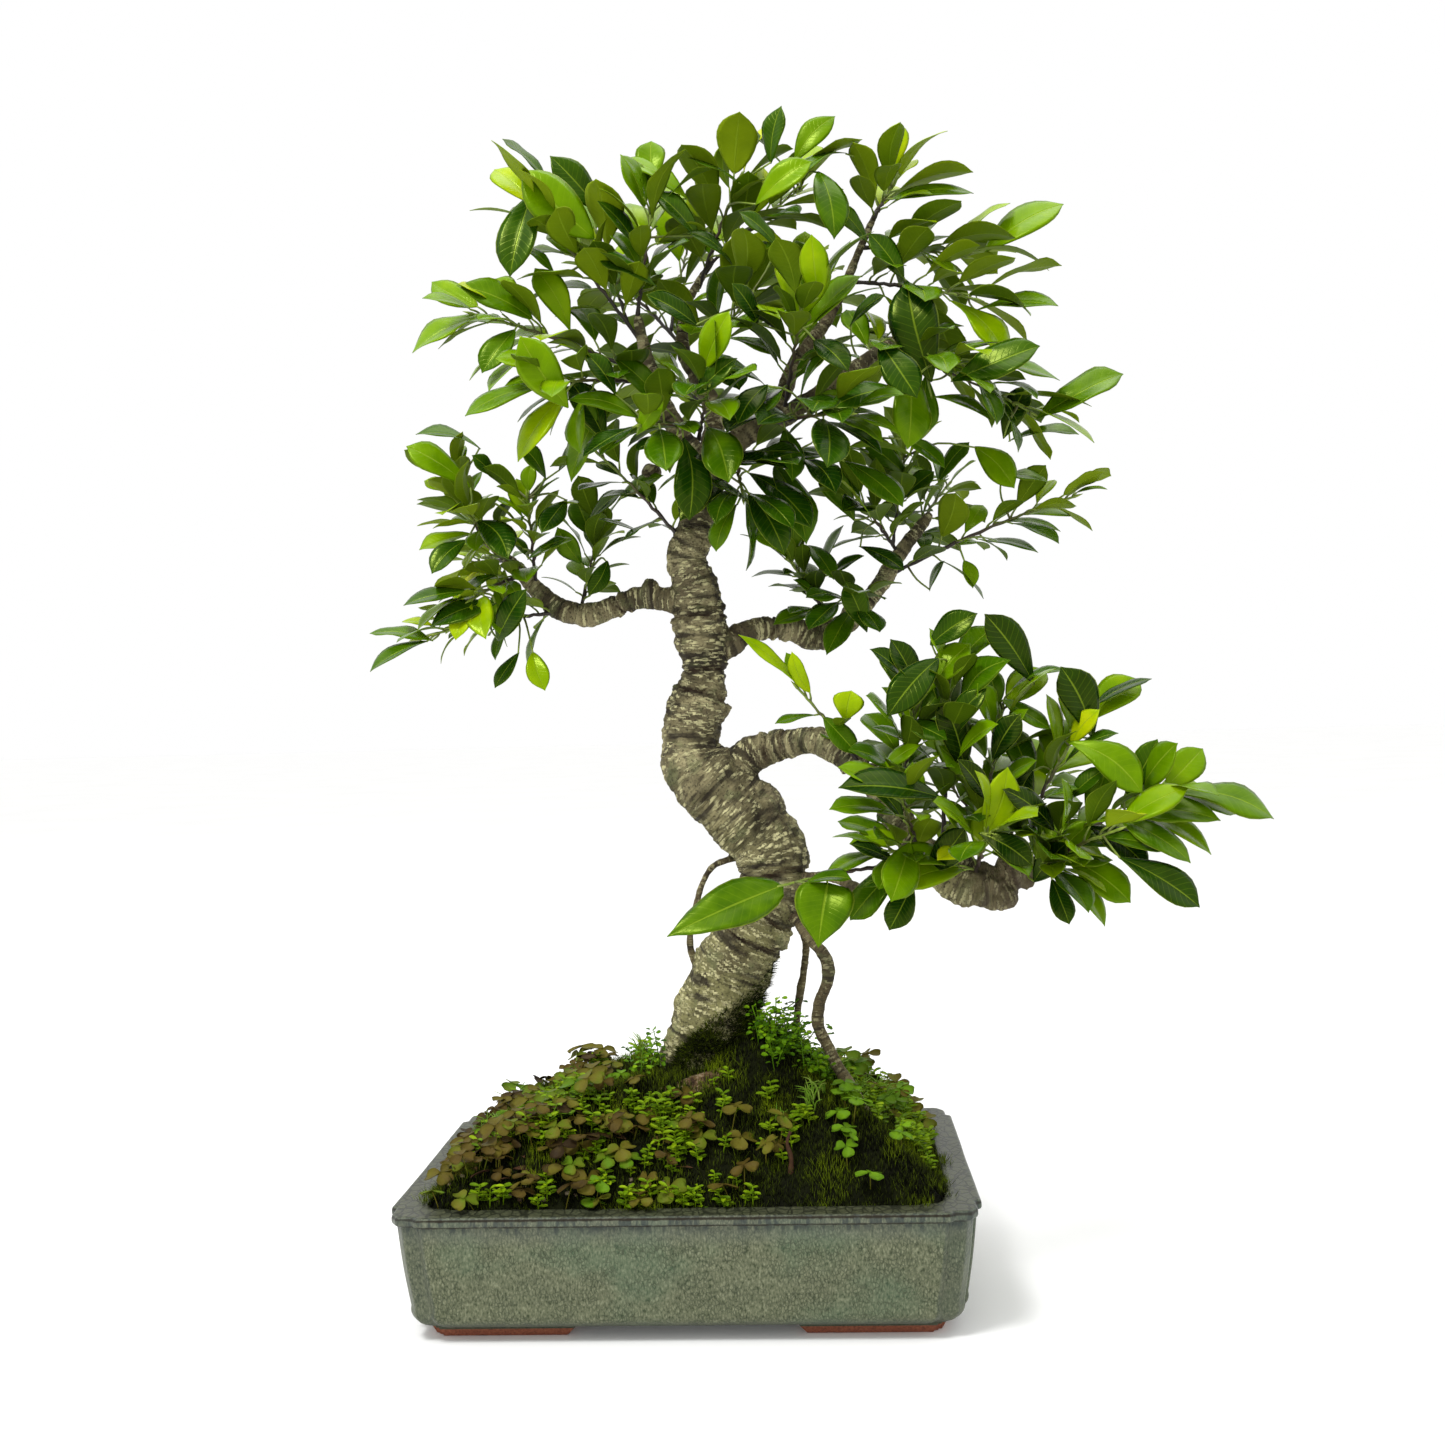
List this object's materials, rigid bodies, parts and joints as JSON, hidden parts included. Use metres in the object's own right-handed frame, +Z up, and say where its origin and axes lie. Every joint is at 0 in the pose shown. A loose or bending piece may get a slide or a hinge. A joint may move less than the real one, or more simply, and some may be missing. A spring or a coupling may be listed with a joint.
{
  "type": "potted bonsai tree",
  "caption": "Ficus bonsai with a curved trunk, leafy pads and aerial roots, on a mossy mound in a rectangular glazed pot on low feet.",
  "frame": {"origin": "middle of the whole plant's footprint, on the surface that the pot's feet stand on; the pot's centre is at X -77.7 mm, Y 4.2 mm", "axes": "+Z up the tree, +X along the pot's long side towards the lower right limb, -Y towards the front of the pot"},
  "size_m": [0.6334, 0.3362, 0.8627],
  "materials": {
    "glaze": "gloss",
    "screen_plastic": "matte",
    "soil": "matte",
    "moss": "matte",
    "bark": "matte",
    "leaf": "gloss"
  },
  "bodies": {
    "root": {"aerial_root_back": "bark", "aerial_root_burl": "bark", "aerial_root_front": "bark", "aerial_root_left": "bark", "crown_left_leader": "bark", "crown_mid_leader": "bark", "crown_rear_branch": "bark", "crown_right_branch": "bark", "crown_shoot_01": "leaf", "crown_shoot_02": "leaf", "crown_shoot_03": "leaf", "crown_shoot_04": "leaf", "crown_shoot_05": "leaf", "crown_shoot_06": "leaf", "crown_shoot_07": "leaf", "crown_shoot_08": "leaf", "crown_shoot_09": "leaf", "crown_shoot_10": "leaf", "crown_shoot_11": "leaf", "crown_shoot_12": "leaf", "crown_shoot_13": "leaf", "crown_shoot_14": "leaf", "crown_shoot_15": "leaf", "crown_shoot_16": "leaf", "crown_shoot_17": "leaf", "crown_shoot_18": "leaf", "drain_screen_left": "screen_plastic", "drain_screen_right": "screen_plastic", "front_shoot": "leaf", "left_limb": "bark", "left_shoot_01": "leaf", "left_shoot_02": "leaf", "left_shoot_03": "leaf", "left_shoot_04": "leaf", "left_shoot_05": "leaf", "left_shoot_06": "leaf", "left_shoot_07": "leaf", "left_shoot_08": "leaf", "low_shoot_01": "leaf", "low_shoot_02": "leaf", "low_shoot_03": "leaf", "low_shoot_04": "leaf", "low_shoot_05": "leaf", "low_shoot_06": "leaf", "low_shoot_07": "leaf", "low_shoot_08": "leaf", "low_shoot_09": "leaf", "low_shoot_10": "leaf", "lower_right_limb": "bark", "moss": "moss", "pot": "glaze", "right_limb": "bark", "right_shoot_01": "leaf", "right_shoot_02": "leaf", "right_shoot_03": "leaf", "right_shoot_04": "leaf", "right_shoot_05": "leaf", "soil": "soil", "trunk": "bark"}
  },
  "joints": []
}
